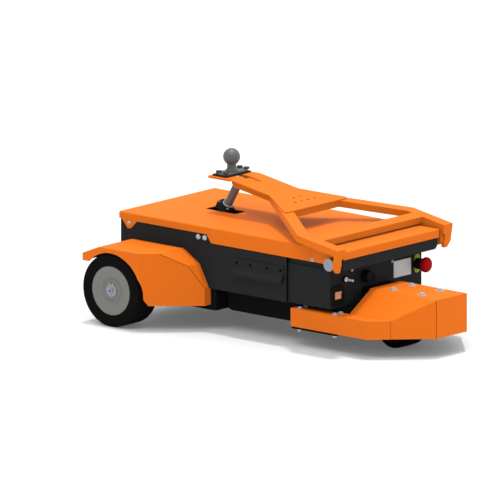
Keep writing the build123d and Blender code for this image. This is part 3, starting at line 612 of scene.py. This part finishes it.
# Places (x, y, z) along the fender's folded corner and along the bumper's front corner.
FENDER_GAP = [(247, 315.6, 231.8), (309, 259.6, 194.8), (343.8, 228.2, 130)]
BUMPER_GAP = [(1095.4, 66.6, 61), (1095.4, 66.6, 172.5)]
gap_shade_strips = []
for sign in (-1, 1):
    for line, radius in ((FENDER_GAP, 0.7), (BUMPER_GAP, 0.6)):
        gap_shade_strips.append(strand([(x, sign * y, z) for x, y, z in line], radius))
# Black strips that paint the shade inside the hairline gaps.
dress(sheets_to_piece("corner_gap_painted_shade", gap_shade_strips, smooth=60, body="chassis"), "switch_black")

# %% [markdown]
# The tow ball is turned from one bar: flange, waist and ball follow each other in one outline,
# and the ball's arc is worked out from its radius so that it meets the waist without a step. Its
# long foot is a rounded plate on a black seat, held by four dark bolts.

# %% Tow ball
BALL = dict(x=250.0, z=470.0, radius=25.0, waist=13.5)
# Flange and waist: radius, and height above the seat.
STEM = [(POLE, 0), (17, 0), (17, 8.5), (14, 11), (BALL["waist"], 14)]
# The foot: size along X and Y, corner radius, thickness, and how far its middle stands along Y.
BALL_FOOT = dict(deep=44, wide=104, corner=12, high=5, y=1)
seat_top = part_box("ball_seat")[1][2] * 1000
join = math.asin(BALL["waist"] / BALL["radius"])
t = np.linspace(join - math.pi / 2, math.pi / 2, 40)
arc = np.stack([BALL["radius"] * np.cos(t), BALL["z"] + BALL["radius"] * np.sin(t)], 1)
arc[-1, 0] = POLE
stem = rounded([(radius, seat_top + high) for radius, high in STEM], 1.5, 3)
# The waist runs straight up to the height at which the ball is as thin as the waist.
below = BALL["z"] - math.sqrt(BALL["radius"] ** 2 - BALL["waist"] ** 2)
outline = np.concatenate([stem, [(BALL["waist"], below)], arc[arc[:, 1] >= below]])
foot = soft_box(BALL_FOOT["deep"], BALL_FOOT["wide"], BALL_FOOT["corner"])
sheets = [turned(outline, (BALL["x"], 0, 0), "+Z", 96),
          plate(foot, 0, BALL_FOOT["high"], (BALL["x"], BALL_FOOT["y"], seat_top), "+Z", 1.0)]
ball = sheets_to_piece("ball_with_foot", sheets, smooth=30, body="hitch_arm")
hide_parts("tow_ball")
dress(ball, "steel")
print("seat top at", round(seat_top, 2))

# %% Bolts that hold the ball's foot
ball_bolts = []
for x in (239.5, 265.5):
    for y in (-44, 48):
        ball_bolts += hex_bolt((x, y, seat_top + BALL_FOOT["high"]), "+Z", 8.0, 5.8, washer=False)
dress(sheets_to_piece("ball_bolts", ball_bolts, body="hitch_arm"), "switch_black", "dark_bolt")

# %% [markdown]
# The lifting cylinder leans from a pin inside the body to the eye below the arm's tip. The same
# turned outlines serve it once they are laid on the leaning axis: out along the lean, up along Y.

# %% Rod and its eye
# The cylinder's foot pin and its eye, how far from the pin the barrel ends, and the rod's radius.
# The eye's own ring is turned about Y.
FOOT, EYE = np.array((132.0, 0.0, 146.0)), np.array((279.0, 0.0, 400.0))
BARREL_END, ROD = 208.0, 12.45
reach = np.linalg.norm(EYE - FOOT)
lean = (EYE - FOOT) / reach
ACROSS = np.array((lean[2], 0, -lean[0]))
LEANING = (ACROSS, np.cross(lean, ACROSS), lean)
EYE_OUT = ((1, 0, 0), (0, 0, -1), (0, 1, 0))
ROD_LINE = [(POLE, 32), (ROD - 1, 32), (ROD, 33), (ROD, reach - 12), (ROD - 2, reach - 9), (POLE, reach - 9)]
EYE_RING = [(9.5, -9.9), (13.8, -9.9), (15, -8.8), (15, 8.8), (13.8, 9.9), (9.5, 9.9)]
sheets = [turned(ROD_LINE, FOOT, LEANING, 64), turned(closed_ring(EYE_RING, 0.6), EYE, EYE_OUT, 56)]
rod = sheets_to_piece("rod_with_eye", sheets, smooth=35, body="rod")
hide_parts("cylinder_rod")
dress(rod, "rod_chrome")

# %% Wiper ring and screws of the cylinder's head
WIPER = [(12.9, 0), (16.6, 0), (16.6, 2.6), (14.8, 4.2), (12.9, 3.2)]
wiper_ring = turned(closed_ring(WIPER, 0.6), FOOT + lean * (BARREL_END + 0.2), LEANING, 56)
dress(sheets_to_piece("wiper_ring", [wiper_ring], smooth=35, body="barrel"), "zinc_plate")
head_screws = []
for across in (-23.0, 13.0):
    for y in (-13.5, 13.5):
        at = FOOT + lean * (BARREL_END - 4.0) + ACROSS * across + np.array((0, y, 0))
        head_screws += dome_screw(at, LEANING, 3.4, 2.6, 0.5)
dress(sheets_to_piece("head_screws", head_screws, body="barrel"), "zinc_plate")

# %% [markdown]
# The arm turns on two large bolts. Each has a collar, a long waist and a thin broad head with a
# turned rim, all one outline from the beam outwards. A washer round the waist is a piece of its
# own, because it has another finish: black, which paints the shade in the gap behind the head.

# %% Pivot bolts
# Place of the arm's hinge line; the outlines are radius, and distance from the machine's middle.
PIVOT = (838.0, 0.0, 271.5)
BOLT = [(POLE, 208), (10, 208), (10, 213), (14, 213), (14, 218), (10, 218), (10, 245), (18, 245.4),
        (19, 246.4), (19, 248.8), (17.8, 249.8), (9.5, 250), (8.8, 248.9), (POLE, 248.8)]
WASHER = [(10.2, 230), (17.2, 230), (17.8, 230.8), (17.8, 234.4), (17.2, 235), (10.2, 235), (10.2, 230)]
for side, _, axis in SIDES:
    bolt = sheets_to_piece(f"pivot_{side}", [turned(BOLT, PIVOT, axis, 64)], smooth=30, body="chassis")
    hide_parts(f"pivot_bolt_{side}")
    dress(bolt, "zinc_plate", "pivot_zinc")
    # The washer is black as painted shade: it shows as a dark ring in the gap behind the head.
    ring = turned(WASHER, PIVOT, axis, 48)
    dress(sheets_to_piece(f"pivot_washer_painted_shade_{side}", [ring], smooth=30, body="chassis"), "switch_black")

# %% [markdown]
# The stop button is a red mushroom cap on a black collar: a flat underside, a full rounded rim
# and a shallow crown. It is turned about X, out of the end panel, and so is the black ring round
# the key.

# %% Stop button, panel screws and key ring
# The panel's face, the places of button and key on it, and their outlines: radius, and how far out.
PANEL = 804.0
STOP_AT, KEY_AT = (PANEL, 180.0, 203.0), (PANEL, -138.0, 207.0)
CAP = [(POLE, 20), (10, 20), (10.4, 28), (21, 30.5), (22.5, 33.5), (22.5, 40), (18.5, 45), (9, 47.8),
       (POLE, 48.5)]
KEY_RING = [(4.6, 5.2), (4.6, 6.0), (8.0, 6.0), (9.6, 4.6), (9.6, 0.1), (4.6, 0.1)]
cap = turned(rounded(CAP, 2.2, 5), STOP_AT, "+X", 64)
stop = sheets_to_piece("stop_cap", [cap], smooth=40, body="chassis")
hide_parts("stop_button")
dress(stop, "stop_red")
panel_screws = []
for y, z in ((-105, 229), (73, 226)):
    panel_screws += dome_screw((PANEL, y, z), "+X", 5.2, 3.4)
dress(sheets_to_piece("panel_screws", panel_screws, body="chassis"), "zinc_plate")
ring = turned(closed_ring(KEY_RING, 0.8), KEY_AT, "+X", 48)
dress(sheets_to_piece("key_ring", [ring], smooth=35, body="chassis"), "switch_black")

# %% [markdown]
# The arm is welded. A bead is a thin round strip half sunk in a corner, where two tubes meet or
# where the plate lies over a tube, and its radius swells and narrows along its length with each
# drop of metal. Stations on the sloping deck are turned into places with the slope's sine and
# cosine.

# %% Weld beads on the arm
# The arm's slope, and the lower corner of its side tubes' free ends.
SLOPE = math.atan(0.165)
DECK_BACK = np.array((874.5, 0.0, 299.7))
# Way between two rings of a bead, in millimetres, and a direction that no bead follows.
RING_STEP, ASIDE = 0.9, (0.3, 0.5, 0.8)


def on_deck(x, y, high):
    """Place = back corner + run * (-cos, sin) + height * (sin, cos); run is the way along x over cos."""
    run = (DECK_BACK[0] - x) / math.cos(SLOPE)
    rise = np.array((high * math.sin(SLOPE), y, high * math.cos(SLOPE)))
    return DECK_BACK + np.array((-run * math.cos(SLOPE), 0, run * math.sin(SLOPE))) + rise


def bead(start, end, radius=1.8, drop=2.6):
    """Radius = full * (0.86 + 0.14 |sin(pi s / drop)|) round the line from start to end, and the ends
    are drawn in almost to a point."""
    start, end = np.array(start, float), np.array(end, float)
    length = np.linalg.norm(end - start)
    s = np.linspace(0, length, int(length / RING_STEP) + 3)
    thick = radius * (0.86 + 0.14 * np.abs(np.sin(math.pi * s / drop))) * np.sqrt(
        np.clip(1 - np.abs(2 * s / length - 1) ** 24, 1e-5, 1))
    out = (end - start) / length
    side = np.cross(out, ASIDE)
    side /= np.linalg.norm(side)
    t = np.linspace(0, 2 * np.pi, 8, endpoint=False)
    ring = np.cos(t)[:, None] * side + np.sin(t)[:, None] * np.cross(out, side)
    return start + s[:, None, None] * out + thick[:, None, None] * ring


# Height of the tubes over the deck line, and the Y of the side tubes' inner faces at the wide end
# and of their outer faces at the neck, where the plate reaches over them.
TUBE_TOP, INNER, NECK_OUTER = 20.0, 218.0, 50.0
beads = []
for sign in (-1, 1):
    for x in (752, 791):
        beads.append(bead(on_deck(x, sign * INNER, 1), on_deck(x, sign * INNER, TUBE_TOP - 0.5)))
    for x, y in ((535, 75), (573, 102)):
        beads.append(bead(on_deck(x, sign * y, 1), on_deck(x, sign * y, TUBE_TOP - 1)))
    for x0, x1 in ((308, 338), (362, 392), (412, 436)):
        ends = [on_deck(x, sign * NECK_OUTER, TUBE_TOP - 0.6) for x in (x0, x1)]
        beads.append(bead(*ends, 1.6))
dress(sheets_to_piece("arm_welds", beads, smooth=60, body="hitch_arm"), "orange_paint")

# %% [markdown]
# The camera looks from the caster end's corner, a little above the machine, without perspective:
# parallel edges stay parallel in the photograph, so an orthographic camera fits it.

# %% Camera
# Direction of view, and in metres the point looked at, the width of the view and the distance.
AZIMUTH, ELEVATION = math.radians(41.0), math.radians(12.2)
TARGET, VIEW_WIDTH, DISTANCE = np.array([-0.2209, 0.0, 0.2025]), 1.45, 4.0
level = math.cos(ELEVATION)
back = np.array([math.sin(AZIMUTH) * level, -math.cos(AZIMUTH) * level, math.sin(ELEVATION)])
camera = bpy.data.objects.new("camera", bpy.data.cameras.new("camera"))
camera.data.type = "ORTHO"
camera.data.ortho_scale = VIEW_WIDTH
camera.location = TARGET + back * DISTANCE
camera.rotation_euler = (math.pi / 2 - ELEVATION, 0.0, AZIMUTH)
bpy.context.collection.objects.link(camera)
bpy.context.scene.camera = camera
print("camera at", np.round(camera.location, 3))

# %% [markdown]
# The ground is pale and holds a soft grey shadow. The camera sees the world as plain white, and
# the ground adds a little of its own white for the camera only, so that it meets the world
# without an edge while the shadow stays.

# %% Floor
# Half the ground's size and its middle along X, in millimetres, its grey, and its own white.
HALF_GROUND, MIDDLE, GROUND_GREY, OWN_WHITE = 6000, 542, 0.74, 0.10
t = np.linspace(-1, 1, 5)
gx, gy = np.meshgrid(t * HALF_GROUND + MIDDLE, t * HALF_GROUND, indexing="ij")
floor = sheets_to_piece("floor", [np.stack([gx, gy, 0 * gx], -1)], closed=False)
floor_paint = bpy.data.materials.new("pale_floor")
floor_paint.use_nodes = True
tree = floor_paint.node_tree
ground = tree.nodes["Principled BSDF"]
ground.inputs["Base Color"].default_value = (GROUND_GREY, GROUND_GREY, GROUND_GREY, 1)
ground.inputs["Roughness"].default_value = 0.95
ground.inputs["Specular IOR Level"].default_value = 0.0
ground.inputs["Emission Color"].default_value = (1, 1, 1, 1)
ray = add(tree, "ShaderNodeLightPath")
own = add(tree, "ShaderNodeMath", operation="MULTIPLY")
own.inputs[1].default_value = OWN_WHITE
tree.links.new(ray.outputs["Is Camera Ray"], own.inputs[0])
tree.links.new(own.outputs[0], ground.inputs["Emission Strength"])
floor.data.materials.append(floor_paint)

# %% [markdown]
# The world is the studio. The camera, and a ray that has passed through glass, see it as plain
# white. The light that it gives is graded by direction: strong from high behind the machine and
# weak from low in front of it, so that the near faces are darker than the tops.

# %% World
# The world's strength on its dark and on its bright side, and the direction of the bright side.
SKY, BRIGHT_SIDE = (0.28, 1.16), (-0.2, 0.8, 0.56)
world = bpy.data.worlds.new("studio")
bpy.context.scene.world = world
world.use_nodes = True
tree = world.node_tree
sky = tree.nodes["Background"]
sky.inputs["Color"].default_value = (1, 1, 1, 1)
spot = add(tree, "ShaderNodeTexCoord")
facing = add(tree, "ShaderNodeVectorMath", operation="DOT_PRODUCT")
facing.inputs[1].default_value = BRIGHT_SIDE
shade = add(tree, "ShaderNodeMapRange")
for socket, value in zip(("From Min", "From Max", "To Min", "To Max"), (-1.0, 1.0, *SKY)):
    shade.inputs[socket].default_value = value
ray = add(tree, "ShaderNodeLightPath")
shows_white = add(tree, "ShaderNodeMath", operation="MAXIMUM")
strength = add(tree, "ShaderNodeMix", data_type="FLOAT")
strength.inputs[VALUE_B].default_value = 1.0
tree.links.new(spot.outputs["Generated"], facing.inputs[0])
tree.links.new(facing.outputs["Value"], shade.inputs["Value"])
tree.links.new(ray.outputs["Is Camera Ray"], shows_white.inputs[0])
tree.links.new(ray.outputs["Is Transmission Ray"], shows_white.inputs[1])
tree.links.new(shows_white.outputs[0], strength.inputs[0])
tree.links.new(shade.outputs[0], strength.inputs[VALUE_A])
tree.links.new(strength.outputs[VALUE_OUT], sky.inputs["Strength"])
print("world light, dark and bright side:", SKY)

# %% [markdown]
# Two suns light the machine. The first stands almost overhead, so that the tops are brightest and
# the shadows lie close under the machine. The second is weaker and much wider. It stands high on
# the near side and lights the upright faces without a hard shadow. The Standard view then shows
# each colour about as it is written.

# %% Suns


def add_sun(name, towards, strength, spread):
    """A sun at infinity in the direction `towards`, `spread` degrees wide, which softens its shadows."""
    lamp = bpy.data.objects.new(name, bpy.data.lights.new(name, "SUN"))
    lamp.data.energy = strength
    lamp.data.angle = math.radians(spread)
    lamp.rotation_euler = Vector(towards).to_track_quat("Z", "Y").to_euler()
    bpy.context.collection.objects.link(lamp)
    print("lamp:", name, "strength:", strength, "degrees wide:", spread)


add_sun("sun", (0.01, 0.06, 1.0), 1.45, 5.0)
add_sun("fill", (0.22, -0.48, 0.85), 0.74, 30.0)
bpy.context.scene.view_settings.view_transform = "Standard"
